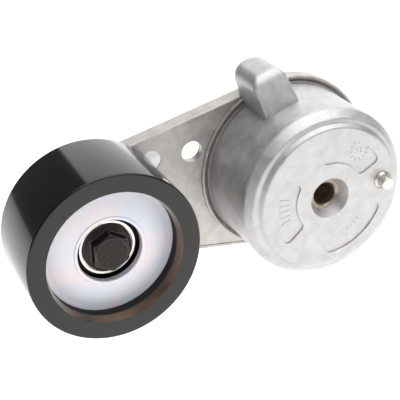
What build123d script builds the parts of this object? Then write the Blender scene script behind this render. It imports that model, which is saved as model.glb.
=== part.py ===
"""Heavy-duty automatic belt tensioner: a sprung arm that carries a smooth idler pulley.

Millimetres. The pivot axis is Y and the origin is its centre on the mounting face.
+Y runs from the mounting face into the part (called depth), +Z is up, the arm reaches along -X.
Angles about the pivot are measured from +X towards +Z.
"""
import math
import os

from build123d import *

# Overall layout
ARM_LENGTH = 100.0           # pivot axis to pulley axis
CASE_RADIUS = 39.7           # outside of the spring case at its shoulder
PULLEY_RADIUS = 38.0         # smooth face that the back of the belt runs on
PULLEY_WIDTH = 38.5
PULLEY_FRONT = 2.0           # the pulley's front face lies this far behind the mounting face

# Clearances
PRESS_GAP = 0.02             # radial gap drawn between pressed or threaded pieces
RUNNING_GAP = 0.05           # radial gap of a bearing surface that turns
FACE_GAP = 0.05              # axial gap between faces that rub
RIM_GAP = 0.4                # axial gap between the case's rim and the arm's ring
STOP_GAP = 0.15              # what is left between two stops when they meet
OVERRUN = 1.0                # cutters and cast roots reach this far past the surface they meet

# Spring case
CASE_WALL = 4.0
CASE_TAPER = 0.5             # the case is this much narrower at its rim
CASE_FLOOR = 9.0             # thickness of the mounting end
FACE_RADIUS = 33.0           # flat mounting face
FACE_EDGE_ROUND = 1.2
FACE_STEP = 2.0              # the shelf around the face lies this far back
SHELF_RUN = 1.6              # width of the slope between the face and the shelf
SHELF_ROUND = 0.8
SHELF_WIDTH = 2.0
SHELF_FALL = 0.4
SHELF_EDGE_ROUND = 1.4
SHOULDER_FALL = 1.2          # straight slope outside the shelf, before the rounded shoulder
SHOULDER_ROUND = 3.4
RIM_ROUND = 0.8
FLOOR_ROUND = 2.5
BOSS_RADIUS = 14.0           # boss on the floor that the pivot shaft is pressed into
BOSS_LENGTH = 3.0
BORE_MOUTH_RADIUS = 9.5      # countersink of the mounting bore
BORE_MOUTH_DEPTH = 4.5

# Recessed pads of the mounting face
PAD_ANGLES = (62.0, 182.0, 302.0)
PAD_HALF_ANGLE = 37.0
PAD_INNER_RADIUS = 16.5
PAD_OUTER_RADIUS = 28.0
PAD_DEPTH = 0.6
PAD_ROUND = 2.5

# Locating pin
PIN_RADIUS = 3.0
PIN_HEIGHT = 5.0             # out of the mounting face
PIN_SEAT = 6.0               # depth pressed into the case
PIN_OFFSET = 27.0            # from the pivot axis
PIN_ANGLE = 3.5
PIN_ROUND = 0.6
PIN_COLLAR = 0.9             # width and height of the cone around its root
PIN_RELIEF = 0.4             # width and depth of the shallow recess around the collar

# Stop lug on the outside of the case
LUG_ANGLE = 106.2            # of the middle of its foot
LUG_HALF_WIDTH = 8.2         # at the top, if its edges were not rounded
LUG_FOOT_HALF_WIDTH = 9.2
LUG_HEIGHT = 16.2            # above the case's outside
LUG_LENGTH = 21.4            # straight part, up to the centre of its round end
LUG_OVERHANG = 1.2           # depth of the round end's centre behind the case's rim
LUG_NOSE_DEPTH = 5.0         # how far the front face slopes back
LUG_FOOT = 1.6               # height of the upright part at the foot of the slope
LUG_NOSE_ROUND = 6.0
LUG_TOP_ROUND = 6.0
LUG_CORNER_ROUND = 2.8
LUG_RING_GAP = 0.7           # between the lug's underside and the arm's ring
LEAST_SLOPE = 0.3            # a face that looks this far forwards belongs to the lug's front

# Pivot
BOLT_BORE_RADIUS = 5.25      # clearance bore for an M10 mounting bolt
SPIGOT_RADIUS = 7.1          # pressed into the case
SHAFT_RADIUS = 10.0
SHAFT_CHAMFER = 0.6
TAIL_RADIUS = 8.0            # behind the shaft, through the end plate
STAKE_RADIUS = 9.4
STAKE_LENGTH = 1.4
STAKE_TAPER = 0.5
BUSHING_WALL = 2.4
BUSHING_SPACE = 4.0          # between the two bushings
HUB_TUBE_WALL = 4.0
HUB_TUBE_GAP = 1.0           # between the hub tube and the case's boss

# Torsion spring
SPRING_WIRE = 6.4            # diameter
SPRING_MEAN_RADIUS = 28.5
COIL_GAP = 0.3
SPRING_END_GAP = 0.1
SPRING_END_ANGLE = 0.4       # left between the wire's ends and the blocks they bear on
SPRING_SEAT_THICKNESS = 1.5
SPRING_SEAT_LIP = 0.6        # the seat is this much wider than the wire on each side
SPRING_SEAT_SLIT = 0.5       # angle left open on each side of the case's block
SPRING_ARM_ANGLE = 300.0     # where the spring's end bears on the arm
ABUTMENT_ANGLE = 14.0        # width of the blocks that the spring's ends bear on
ARM_TRAVEL = 45.0            # from the free-arm stop to the load stop
LOAD_STOP_LENGTH = 12.0
LOAD_STOP_SETBACK = 0.5      # behind the case's rim
LOAD_STOP_CLEARANCE = 0.7    # between the stop and the coils

# Arm
ARM_HUB_EDGE = 41.5          # distance of the arm's straight edges from the pivot, at the hub
ARM_TIP_EDGE = 23.0          # the same at the pulley
RIM_CLEARANCE = 0.3          # radial gap between the case's shoulder radius and the ring
RING_WIDTH = 2.6
RING_BEVEL = 1.7             # the ring opens towards the case
RING_INNER_ROUND = 0.4
RING_OUTER_ROUND = 0.5
RING_HEIGHT = 1.6            # of the ring above the arm's plate
PLATE_THICKNESS = 4.0
ARM_DEPTH = 7.4              # plate front to the back of the arm's flange
FLANGE_WIDTH = 3.4
BEAD_WIDTH = 1.5
BEAD_HEIGHT = 0.4
BEAD_ROUND = 0.36
RIB_WIDTH = 5.0
HUB_FLOOR_DEPTH = 3.6        # hub floor behind the case's rim
HUB_BACK_ROUND = 3.0
HUB_ROOT_ROUND = 2.0
HUB_BLOCK_GAP = 0.5          # between the arm's spring block and the case's wall
TIP_BOSS_RADIUS = 13.0       # rear boss of the pulley bolt
TIP_BOSS_RISE = 1.2
POST_RADIUS = 11.0           # front post that the bearing is clamped against
TOOL_HOLE_RADIUS = 5.0
TOOL_HOLE_LAND = 1.6         # between the hole and the hub's ring
TOOL_HOLE_RAISE = 17.4       # above the arm's centre line
CAST_SPOT_RADIUS = 4.8       # shallow round spot beside the hole
CAST_SPOT_DEPTH = 0.3
CAST_SPOT_PITCH = 19.8       # from the hole, towards the pulley
CAST_SPOT_RAISE = 18.3

# Rim seal between case and arm
SEAL_WALL = 3.2
SEAL_SEAT_DEPTH = 2.8        # behind the case's rim
SEAL_RIM_GAP = 0.3

# Damper and end plate behind the hub
DISC_RECESS = 1.5
DISC_RADIUS = 25.0
DISC_CLEARANCE = 0.5
DISC_THICKNESS = 1.8
CONE_WASHER_INNER = 12.5
CONE_WASHER_OUTER = 22.0
CONE_WASHER_THICKNESS = 0.8
CONE_WASHER_RISE = 0.7
END_PLATE_RADIUS = 24.0
END_PLATE_THICKNESS = 2.5
END_PLATE_ROUND = 1.0

# Ball bearing 17 x 40 x 16
BEARING_BORE_RADIUS = 8.5
BEARING_OUTER_RADIUS = 20.0
BEARING_WIDTH = 16.0
RACE_SHARE = 0.27            # each race takes this share of the space between bore and outside
BALL_SHARE = 0.2933          # the same for a ball's radius
BALL_COUNT = 8
CAGE_SHARE = 0.226           # and for the cage's wall
CAGE_WIDTH = 9.0
BEARING_SEAL_THICKNESS = 1.2
BEARING_SEAL_INSET = 0.5
BEARING_SEAL_BITE = 0.7      # how far the seal reaches into the outer race
RACE_CHAMFER = 0.5

# Pulley body
PULLEY_BORE_RADIUS = 29.0    # where the dust shield is pressed in
PULLEY_BEVEL = 1.0           # the bore opens by this much at the face
PULLEY_BEVEL_DEPTH = 4.5
PULLEY_EDGE = 0.8
SHIELD_DEPTH = 9.0           # pulley face to the shield
BEARING_LIP_RADIUS = 18.2
BEARING_LIP = 1.65
SNAP_RING_THICKNESS = 1.75
SNAP_RING_BITE = 1.2         # groove depth
SNAP_RING_WIDTH = 2.6
SNAP_RING_GAP_ANGLE = 40.0
SNAP_RING_SLACK = 0.1        # left at the bottom and at the front of its groove
SNAP_RING_SETBACK = 1.8      # shield seat to the ring
REAR_RECESS_ROUND = 2.5

# Dust shields
SHEET = 1.0                  # thickness of the pressed sheet pieces
SHIELD_HOLE_RADIUS = 14.3
SHIELD_RISE = 1.9            # the hole's edge stands this far in front of the rim
SHIELD_FLAT = 2.0
SHIELD_STEP_WIDTH = 1.3
SHIELD_STEP_RISE = 0.35
SHIELD_STEP_SLOPE = 0.3
SHIELD_EDGE_ROUND = 0.4
SHIELD_LIP = 3.0
SHIELD_LIP_WALL = 0.8
CUP_RADIUS = 12.4
CUP_HEIGHT = 1.8
CUP_ROUND = 0.8
CLAMP_INSET = 0.2            # the rear shield's clamped part ends inside the inner ring's edge
REAR_SHIELD_SETBACK = 0.8
REAR_SHIELD_GAP = 0.6

# Pulley bolt, M10 with flange
THREAD_RADIUS = 5.0
SHANK_CLEARANCE = 0.15
HEX_ACROSS_FLATS = 15.0
HEX_CHAMFER_RADIUS = 7.0
FLANGE_RADIUS = 10.9
FLANGE_RIM = 1.5
FLANGE_RISE = 1.2
FLANGE_LOWER_ROUND = 0.3
FLANGE_UPPER_ROUND = 0.5
HEAD_HEIGHT = 8.0
HEX_TURN = 28.0
HEAD_MERGE = 0.5             # the head, flange and shank overlap by this much
SHANK_SETBACK = 0.5          # the bolt's end lies this far inside the rear boss
SHANK_CHAMFER = 1.0

# Depths that follow from the sizes above
RIM_DEPTH = PULLEY_FRONT + PULLEY_WIDTH + 0.1
RING_FRONT = RIM_DEPTH + RIM_GAP
PLATE_FRONT = RING_FRONT + RING_HEIGHT
ARM_BACK = PLATE_FRONT + ARM_DEPTH
HUB_FLOOR = RIM_DEPTH + HUB_FLOOR_DEPTH
BOSS_FRONT = CASE_FLOOR + BOSS_LENGTH
SHIELD_SEAT = PULLEY_FRONT + SHIELD_DEPTH + SHEET
BEARING_FRONT = SHIELD_SEAT + SNAP_RING_SETBACK + SNAP_RING_THICKNESS
BEARING_BACK = BEARING_FRONT + BEARING_WIDTH
BEARING_MIDDLE = BEARING_FRONT + BEARING_WIDTH / 2
POST_FRONT = BEARING_BACK + SHEET
DISC_FRONT = ARM_BACK - DISC_RECESS + FACE_GAP
CONE_WASHER_FRONT = DISC_FRONT + DISC_THICKNESS
END_PLATE_FRONT = CONE_WASHER_FRONT + CONE_WASHER_THICKNESS + CONE_WASHER_RISE
END_PLATE_BACK = END_PLATE_FRONT + END_PLATE_THICKNESS
SHAFT_BACK = END_PLATE_BACK + STAKE_LENGTH

# Radii that follow
RIM_RADIUS = CASE_RADIUS - CASE_TAPER
CASE_INNER_RADIUS = CASE_RADIUS - CASE_WALL
RING_INNER_RADIUS = CASE_RADIUS + RIM_CLEARANCE
RING_RADIUS = RING_INNER_RADIUS + RING_WIDTH
HUB_BORE_RADIUS = SHAFT_RADIUS + RUNNING_GAP + BUSHING_WALL + PRESS_GAP
HUB_TUBE_RADIUS = HUB_BORE_RADIUS + HUB_TUBE_WALL
SPRING_INNER_RADIUS = SPRING_MEAN_RADIUS - SPRING_WIRE / 2
SPRING_OUTER_RADIUS = SPRING_MEAN_RADIUS + SPRING_WIRE / 2
BALL_CIRCLE_RADIUS = (BEARING_BORE_RADIUS + BEARING_OUTER_RADIUS) / 2
BEARING_SECTION = BEARING_OUTER_RADIUS - BEARING_BORE_RADIUS
RACE_WALL = RACE_SHARE * BEARING_SECTION
BALL_RADIUS = BALL_SHARE * BEARING_SECTION
CAGE_WALL = CAGE_SHARE * BEARING_SECTION

# The coils fill the space between the spring's seat and the hub's floor
COIL_PITCH = SPRING_WIRE + COIL_GAP
SPRING_FIRST = CASE_FLOOR + SPRING_SEAT_THICKNESS + SPRING_END_GAP + SPRING_WIRE / 2
SPRING_LAST = HUB_FLOOR - SPRING_END_GAP - SPRING_WIRE / 2
SPRING_TURNS = (SPRING_LAST - SPRING_FIRST) / COIL_PITCH
SPRING_CASE_ANGLE = SPRING_ARM_ANGLE + 360 * SPRING_TURNS


def turned(*corners):
    """Solid turned about Y from (radius, depth) or (radius, depth, rounding) corners."""
    profile = make_face(Polyline(*[corner[:2] for corner in corners], close=True))
    for radius, depth, rounding in [corner for corner in corners if len(corner) == 3]:
        vertex = profile.vertices().sort_by_distance((radius, depth, 0))[0]
        profile = fillet(vertex, rounding)
    return revolve(profile, Axis.Y)


def ring(inner, outer, front, back):
    """Plain ring about Y."""
    return turned((inner, front), (outer, front), (outer, back), (inner, back))


def slab(sketch, front, back):
    """A sketch drawn in X and Z, given thickness from one depth to another."""
    return extrude(Plane.XZ.offset(-front) * sketch, -(back - front))


def sector(inner, outer, middle_angle, half_angle):
    """Flat ring sector in X and Z."""
    start = middle_angle - half_angle
    outline = Curve() + [
        CenterArc((0, 0), inner, start, 2 * half_angle),
        CenterArc((0, 0), outer, start, 2 * half_angle),
    ]
    for angle in (start, start + 2 * half_angle):
        outline += Line(polar(inner, angle), polar(outer, angle))
    return make_face(outline)


def polar(radius, angle):
    """Flat point at an angle in degrees."""
    return (radius * math.cos(math.radians(angle)), radius * math.sin(math.radians(angle)))


def at_pulley(piece):
    """Move a piece made about the pivot axis to the pulley axis."""
    return Pos(-ARM_LENGTH, 0, 0) * piece


def arm_outline(inset=0.0):
    """Arm seen along Y: two circles joined by their outer tangents, optionally inset."""
    hub = ARM_HUB_EDGE - inset
    tip = ARM_TIP_EDGE - inset
    lean = 90 + math.degrees(math.asin((hub - tip) / ARM_LENGTH))
    corners = [polar(hub, lean), polar(hub, -lean)]
    corners += [(x - ARM_LENGTH, z) for x, z in (polar(tip, -lean), polar(tip, lean))]
    web = make_face(Polyline(*corners, close=True))
    return Circle(hub) + Pos(-ARM_LENGTH, 0) * Circle(tip) + web


def stop_lug():
    """Round-ended lug that overhangs the arm's edge and stops the arm when no belt holds it."""
    foot_x, foot_z = polar(CASE_RADIUS, LUG_ANGLE)
    up_x, up_z = polar(1, LUG_ANGLE)
    back = RIM_DEPTH + LUG_OVERHANG
    front = back - LUG_LENGTH
    across = Plane(origin=(foot_x, 0, foot_z), x_dir=(-up_z, 0, up_x), z_dir=(0, 1, 0))
    corners = [(-LUG_FOOT_HALF_WIDTH, -CASE_WALL), (-LUG_HALF_WIDTH, LUG_HEIGHT)]
    corners += [(LUG_HALF_WIDTH, LUG_HEIGHT), (LUG_FOOT_HALF_WIDTH, -CASE_WALL)]
    section = make_face(Polyline(*corners, close=True))
    section = fillet(section.vertices().sort_by(Axis.Y)[-2:], LUG_TOP_ROUND)
    half_section = section & Pos(LUG_FOOT_HALF_WIDTH, 0) * Rectangle(2 * LUG_FOOT_HALF_WIDTH, 4 * LUG_HEIGHT)
    block = extrude(across.offset(front) * section, LUG_LENGTH)
    round_end = Axis((foot_x, back, foot_z), (-up_x, 0, -up_z))
    block += revolve(across.offset(back) * half_section, round_end, 180)

    side = make_face(
        Polyline(
            (front, -CASE_WALL),
            (front, LUG_FOOT),
            (front + LUG_NOSE_DEPTH, LUG_HEIGHT),
            (back + LUG_FOOT_HALF_WIDTH, LUG_HEIGHT),
            (back + LUG_FOOT_HALF_WIDTH, -CASE_WALL),
            close=True,
        )
    )
    nose = side.vertices().sort_by_distance((front + LUG_NOSE_DEPTH, LUG_HEIGHT, 0))[0]
    side = fillet(nose, LUG_NOSE_ROUND)
    along = Plane(origin=(foot_x, 0, foot_z), x_dir=(0, 1, 0), z_dir=(up_z, 0, -up_x))
    lug = block & extrude(along * side, LUG_FOOT_HALF_WIDTH, both=True)
    lug = fillet(front_edges(lug), LUG_CORNER_ROUND)

    lug -= ring(0, CASE_RADIUS - CASE_WALL / 2, 0, ARM_BACK)
    lug -= ring(0, RING_RADIUS + LUG_RING_GAP, RIM_DEPTH, ARM_BACK + LUG_FOOT_HALF_WIDTH)
    return lug - slab(arm_outline(-STOP_GAP), RIM_DEPTH, ARM_BACK + LUG_FOOT_HALF_WIDTH)


def front_edges(lug):
    """Edges around the lug's sloping front, outside the case."""
    sloping = [face for face in lug.faces() if face.normal_at().Y < -LEAST_SLOPE]
    found = []
    for edge in lug.edges():
        shared = [face for face in sloping if any(edge.is_same(own) for own in face.edges())]
        middle = edge.center()
        if len(shared) == 1 and math.hypot(middle.X, middle.Z) > CASE_RADIUS - OVERRUN:
            found.append(edge)
    return found


def spring_case():
    """Cast cup that bolts to the engine and holds the spring."""
    shelf = FACE_RADIUS + SHELF_RUN
    shelf_edge = FACE_STEP + SHELF_FALL
    case = turned(
        (BORE_MOUTH_RADIUS, 0),
        (FACE_RADIUS, 0, FACE_EDGE_ROUND),
        (shelf, FACE_STEP, SHELF_ROUND),
        (shelf + SHELF_WIDTH, shelf_edge, SHELF_EDGE_ROUND),
        (CASE_RADIUS, FACE_STEP + SHOULDER_FALL + SHOULDER_ROUND, SHOULDER_ROUND),
        (RIM_RADIUS, RIM_DEPTH, RIM_ROUND),
        (CASE_INNER_RADIUS, RIM_DEPTH),
        (CASE_INNER_RADIUS, CASE_FLOOR, FLOOR_ROUND),
        (BOSS_RADIUS, CASE_FLOOR),
        (BOSS_RADIUS, BOSS_FRONT),
        (SPIGOT_RADIUS + PRESS_GAP, BOSS_FRONT),
        (SPIGOT_RADIUS + PRESS_GAP, BORE_MOUTH_DEPTH),
    )
    for angle in PAD_ANGLES:
        pad = sector(PAD_INNER_RADIUS, PAD_OUTER_RADIUS, angle, PAD_HALF_ANGLE)
        case -= slab(fillet(pad.vertices(), PAD_ROUND), 0, PAD_DEPTH)

    pin_place = polar(PIN_OFFSET, PIN_ANGLE)
    case -= slab(Pos(*pin_place) * Circle(PIN_RADIUS + PRESS_GAP), 0, PIN_SEAT)
    case -= slab(Pos(*pin_place) * Circle(PIN_RADIUS + PIN_COLLAR + PIN_RELIEF), 0, PIN_RELIEF)

    next_coil = COIL_PITCH * (1 - ABUTMENT_ANGLE / 360) - SPRING_WIRE / 2 - COIL_GAP
    half_block = ABUTMENT_ANGLE / 2
    root = CASE_INNER_RADIUS + OVERRUN
    block_middle = SPRING_CASE_ANGLE + half_block
    block = sector(SPRING_INNER_RADIUS, root, block_middle, half_block - SPRING_END_ANGLE)
    case += slab(block, CASE_FLOOR - OVERRUN, SPRING_FIRST + next_coil)

    stop_start = SPRING_ARM_ANGLE + ARM_TRAVEL + math.degrees(STOP_GAP / CASE_INNER_RADIUS)
    stop = sector(SPRING_OUTER_RADIUS + LOAD_STOP_CLEARANCE, root, stop_start + half_block, half_block)
    case += slab(stop, RIM_DEPTH - LOAD_STOP_LENGTH, RIM_DEPTH - LOAD_STOP_SETBACK)
    return case + stop_lug()


def locating_pin():
    """Pressed pin that keeps the case from turning on the engine."""
    pin = turned(
        (0, -PIN_HEIGHT),
        (PIN_RADIUS, -PIN_HEIGHT, PIN_ROUND),
        (PIN_RADIUS, -PIN_COLLAR),
        (PIN_RADIUS + PIN_COLLAR, 0),
        (PIN_RADIUS + PIN_COLLAR, PIN_RELIEF),
        (PIN_RADIUS, PIN_RELIEF),
        (PIN_RADIUS, PIN_SEAT - PRESS_GAP),
        (0, PIN_SEAT - PRESS_GAP),
    )
    x, z = polar(PIN_OFFSET, PIN_ANGLE)
    return Pos(x, 0, z) * pin


def pivot_shaft():
    """Hollow steel shaft: the mounting bolt passes through it and the arm turns on it."""
    return turned(
        (BOLT_BORE_RADIUS + SHAFT_CHAMFER, BORE_MOUTH_DEPTH),
        (SPIGOT_RADIUS, BORE_MOUTH_DEPTH),
        (SPIGOT_RADIUS, BOSS_FRONT),
        (SHAFT_RADIUS, BOSS_FRONT),
        (SHAFT_RADIUS, DISC_FRONT),
        (TAIL_RADIUS, DISC_FRONT),
        (TAIL_RADIUS, END_PLATE_BACK),
        (STAKE_RADIUS, END_PLATE_BACK),
        (STAKE_RADIUS - STAKE_TAPER, SHAFT_BACK),
        (BOLT_BORE_RADIUS + SHAFT_CHAMFER, SHAFT_BACK),
        (BOLT_BORE_RADIUS, SHAFT_BACK - SHAFT_CHAMFER),
        (BOLT_BORE_RADIUS, BORE_MOUTH_DEPTH + SHAFT_CHAMFER),
    )


def spring_seat():
    """Plastic ring under the first coil, open where the case's block stands."""
    inner = SPRING_INNER_RADIUS - SPRING_SEAT_LIP
    outer = SPRING_OUTER_RADIUS + SPRING_SEAT_LIP
    seat = ring(inner, outer, CASE_FLOOR, CASE_FLOOR + SPRING_SEAT_THICKNESS)
    half_block = ABUTMENT_ANGLE / 2
    half_opening = half_block + SPRING_SEAT_SLIT
    opening = sector(inner - OVERRUN, outer + OVERRUN, SPRING_CASE_ANGLE + half_block, half_opening)
    return seat - slab(opening, 0, SPRING_FIRST)


def torsion_spring():
    """Round-wire coil whose two ends bear on the case and on the arm."""
    path = Helix(COIL_PITCH, COIL_PITCH * SPRING_TURNS, SPRING_MEAN_RADIUS)
    path = Rot(X=-90) * path
    wire = Plane(origin=path @ 0, z_dir=path % 0) * Circle(SPRING_WIRE / 2)
    coil = sweep(wire, path, is_frenet=True)
    return Pos(0, SPRING_FIRST, 0) * Rot(Y=-SPRING_CASE_ANGLE) * coil


def tensioner_arm():
    """Cast arm: hub that closes the case, ribbed plate, and the post that carries the pulley."""
    tube_front = BOSS_FRONT + HUB_TUBE_GAP
    seal_seat = RIM_DEPTH + SEAL_SEAT_DEPTH
    recess_floor = ARM_BACK - DISC_RECESS
    hub = turned(
        (HUB_BORE_RADIUS, tube_front),
        (HUB_TUBE_RADIUS, tube_front),
        (HUB_TUBE_RADIUS, HUB_FLOOR, HUB_ROOT_ROUND),
        (CASE_INNER_RADIUS, HUB_FLOOR),
        (CASE_INNER_RADIUS, seal_seat),
        (RING_INNER_RADIUS, seal_seat),
        (RING_INNER_RADIUS, RING_FRONT + RING_BEVEL),
        (RING_INNER_RADIUS + RING_BEVEL, RING_FRONT, RING_INNER_ROUND),
        (RING_RADIUS, RING_FRONT, RING_OUTER_ROUND),
        (RING_RADIUS, ARM_BACK, HUB_BACK_ROUND),
        (DISC_RADIUS + DISC_CLEARANCE, ARM_BACK),
        (DISC_RADIUS + DISC_CLEARANCE, recess_floor),
        (HUB_BORE_RADIUS, recess_floor),
    )
    plate = slab(arm_outline(), PLATE_FRONT, PLATE_FRONT + PLATE_THICKNESS)
    plate += slab(arm_outline() - arm_outline(FLANGE_WIDTH), PLATE_FRONT, ARM_BACK)
    bead = slab(arm_outline() - arm_outline(BEAD_WIDTH), PLATE_FRONT - BEAD_HEIGHT, PLATE_FRONT)
    crest = bead.faces().sort_by(Axis.Y)[0]
    plate += fillet(crest.edges(), BEAD_ROUND)

    rib = Pos(-ARM_LENGTH / 2, 0) * Rectangle(ARM_LENGTH, RIB_WIDTH)
    plate += slab(rib, PLATE_FRONT, ARM_BACK)
    plate -= ring(0, RING_RADIUS - OVERRUN, 0, ARM_BACK + OVERRUN)
    plate -= slab(Pos(*tool_hole_place()) * Circle(TOOL_HOLE_RADIUS), 0, ARM_BACK + OVERRUN)
    spot = Pos(tool_hole_place()[0] - CAST_SPOT_PITCH, CAST_SPOT_RAISE) * Circle(CAST_SPOT_RADIUS)
    plate -= slab(spot, 0, PLATE_FRONT + CAST_SPOT_DEPTH)

    boss_back = ARM_BACK + TIP_BOSS_RISE
    plate += at_pulley(ring(0, POST_RADIUS, POST_FRONT, PLATE_FRONT + OVERRUN))
    plate += at_pulley(ring(0, TIP_BOSS_RADIUS, PLATE_FRONT + OVERRUN, boss_back))
    plate -= at_pulley(ring(0, THREAD_RADIUS + PRESS_GAP, 0, boss_back + OVERRUN))

    next_coil = COIL_PITCH * (1 - ABUTMENT_ANGLE / 360) - SPRING_WIRE / 2 - COIL_GAP
    half_block = ABUTMENT_ANGLE / 2
    block_outside = CASE_INNER_RADIUS - HUB_BLOCK_GAP
    block_middle = SPRING_ARM_ANGLE - half_block
    block = sector(SPRING_INNER_RADIUS, block_outside, block_middle, half_block - SPRING_END_ANGLE)
    return hub + plate + slab(block, SPRING_LAST - next_coil, HUB_FLOOR + OVERRUN)


def tool_hole_place():
    """Flat place of the round hole beside the hub."""
    reach = RING_RADIUS + TOOL_HOLE_LAND + TOOL_HOLE_RADIUS
    return (-math.sqrt(reach**2 - TOOL_HOLE_RAISE**2), TOOL_HOLE_RAISE)


def rim_seal():
    """Ring in the arm that closes the gap to the case."""
    front = RIM_DEPTH + SEAL_RIM_GAP
    outside = RING_INNER_RADIUS - PRESS_GAP
    return ring(RIM_RADIUS - SEAL_WALL, outside, front, RIM_DEPTH + SEAL_SEAT_DEPTH)


def pivot_bushing_front():
    """Plain bearing with a thrust flange against the case."""
    bore = SHAFT_RADIUS + RUNNING_GAP
    outside = bore + BUSHING_WALL
    tube_front = BOSS_FRONT + HUB_TUBE_GAP
    return turned(
        (bore, BOSS_FRONT + FACE_GAP),
        (BOSS_RADIUS, BOSS_FRONT + FACE_GAP),
        (BOSS_RADIUS, tube_front),
        (outside, tube_front),
        (outside, bushing_middle() - BUSHING_SPACE / 2),
        (bore, bushing_middle() - BUSHING_SPACE / 2),
    )


def pivot_bushing_rear():
    """Plain bearing at the back of the hub."""
    bore = SHAFT_RADIUS + RUNNING_GAP
    return ring(bore, bore + BUSHING_WALL, bushing_middle() + BUSHING_SPACE / 2, ARM_BACK - DISC_RECESS)


def bushing_middle():
    """Depth halfway along the hub's bore."""
    return (BOSS_FRONT + HUB_TUBE_GAP + ARM_BACK - DISC_RECESS) / 2


def friction_disc():
    """Damper disc that rubs on the back of the hub."""
    return ring(TAIL_RADIUS + PRESS_GAP, DISC_RADIUS, DISC_FRONT, DISC_FRONT + DISC_THICKNESS)


def cone_washer():
    """Dished spring washer that presses the friction disc on the hub."""
    front = CONE_WASHER_FRONT
    return turned(
        (CONE_WASHER_OUTER, front),
        (CONE_WASHER_OUTER, front + CONE_WASHER_THICKNESS),
        (CONE_WASHER_INNER, front + CONE_WASHER_THICKNESS + CONE_WASHER_RISE),
        (CONE_WASHER_INNER, front + CONE_WASHER_RISE),
    )


def end_plate():
    """Steel plate staked on the shaft's tail: it holds the arm on the pivot."""
    return turned(
        (TAIL_RADIUS + PRESS_GAP, END_PLATE_FRONT),
        (END_PLATE_RADIUS, END_PLATE_FRONT),
        (END_PLATE_RADIUS, END_PLATE_BACK, END_PLATE_ROUND),
        (TAIL_RADIUS + PRESS_GAP, END_PLATE_BACK),
    )


def pulley_shell():
    """Smooth pulley turned from steel, with a seat for the bearing in its web."""
    back = PULLEY_FRONT + PULLEY_WIDTH
    seat = BEARING_OUTER_RADIUS + PRESS_GAP
    groove = seat + SNAP_RING_BITE
    groove_front = BEARING_FRONT - SNAP_RING_THICKNESS - SNAP_RING_SLACK
    lip_back = BEARING_BACK + BEARING_LIP
    recess_round = min(REAR_RECESS_ROUND, (back - lip_back) / 2)
    return at_pulley(
        turned(
            (PULLEY_BORE_RADIUS + PULLEY_BEVEL, PULLEY_FRONT),
            (PULLEY_RADIUS, PULLEY_FRONT, PULLEY_EDGE),
            (PULLEY_RADIUS, back, PULLEY_EDGE),
            (PULLEY_BORE_RADIUS, back),
            (PULLEY_BORE_RADIUS, lip_back, recess_round),
            (BEARING_LIP_RADIUS, lip_back),
            (BEARING_LIP_RADIUS, BEARING_BACK),
            (seat, BEARING_BACK),
            (seat, BEARING_FRONT),
            (groove, BEARING_FRONT),
            (groove, groove_front),
            (seat, groove_front),
            (seat, SHIELD_SEAT),
            (PULLEY_BORE_RADIUS, SHIELD_SEAT),
            (PULLEY_BORE_RADIUS, PULLEY_FRONT + PULLEY_BEVEL_DEPTH),
        )
    )


def front_dust_shield():
    """Pressed sheet disc with a rolled hole, in the pulley's bore."""
    rim = PULLEY_BORE_RADIUS - PRESS_GAP
    flat = SHIELD_SEAT - SHEET
    crest = flat - SHIELD_RISE
    step = SHIELD_HOLE_RADIUS + SHIELD_STEP_WIDTH
    return at_pulley(
        turned(
            (rim, flat),
            (rim - SHIELD_FLAT, flat),
            (step + SHIELD_STEP_SLOPE, crest + SHIELD_STEP_RISE),
            (step, crest),
            (SHIELD_HOLE_RADIUS, crest, SHIELD_EDGE_ROUND),
            (SHIELD_HOLE_RADIUS, crest + SHIELD_LIP),
            (SHIELD_HOLE_RADIUS + SHIELD_LIP_WALL, crest + SHIELD_LIP),
            (step + SHIELD_STEP_SLOPE, crest + SHIELD_STEP_RISE + SHEET),
            (rim - SHIELD_FLAT, flat + SHEET),
            (rim, flat + SHEET),
        )
    )


def snap_ring():
    """Spring ring that keeps the bearing in the pulley, open at one side."""
    outer = BEARING_OUTER_RADIUS + PRESS_GAP + SNAP_RING_BITE - SNAP_RING_SLACK
    inner = outer - SNAP_RING_WIDTH
    body = ring(inner, outer, BEARING_FRONT - SNAP_RING_THICKNESS, BEARING_FRONT)
    opening = sector(inner - OVERRUN, outer + OVERRUN, 90, SNAP_RING_GAP_ANGLE / 2)
    return at_pulley(body - slab(opening, 0, BEARING_BACK))


def raceway():
    """The ring-shaped space that the balls run in, a little larger than the balls."""
    return Pos(0, BEARING_MIDDLE, 0) * Rot(X=90) * Torus(BALL_CIRCLE_RADIUS, BALL_RADIUS + RUNNING_GAP)


def outer_race():
    """Bearing's outer ring, with recesses for its two seals."""
    shoulder = BEARING_OUTER_RADIUS - RACE_WALL
    recess = shoulder + BEARING_SEAL_BITE
    recess_depth = BEARING_SEAL_INSET + BEARING_SEAL_THICKNESS
    race = turned(
        (BEARING_OUTER_RADIUS, BEARING_FRONT, RACE_CHAMFER),
        (BEARING_OUTER_RADIUS, BEARING_BACK, RACE_CHAMFER),
        (recess, BEARING_BACK),
        (recess, BEARING_BACK - recess_depth),
        (shoulder, BEARING_BACK - recess_depth),
        (shoulder, BEARING_FRONT + recess_depth),
        (recess, BEARING_FRONT + recess_depth),
        (recess, BEARING_FRONT),
    )
    return at_pulley(race - raceway())


def inner_race():
    """Bearing's inner ring, clamped on the arm."""
    race = turned(
        (BEARING_BORE_RADIUS, BEARING_FRONT, RACE_CHAMFER),
        (BEARING_BORE_RADIUS + RACE_WALL, BEARING_FRONT, RACE_CHAMFER),
        (BEARING_BORE_RADIUS + RACE_WALL, BEARING_BACK, RACE_CHAMFER),
        (BEARING_BORE_RADIUS, BEARING_BACK, RACE_CHAMFER),
    )
    return at_pulley(race - raceway())


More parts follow.
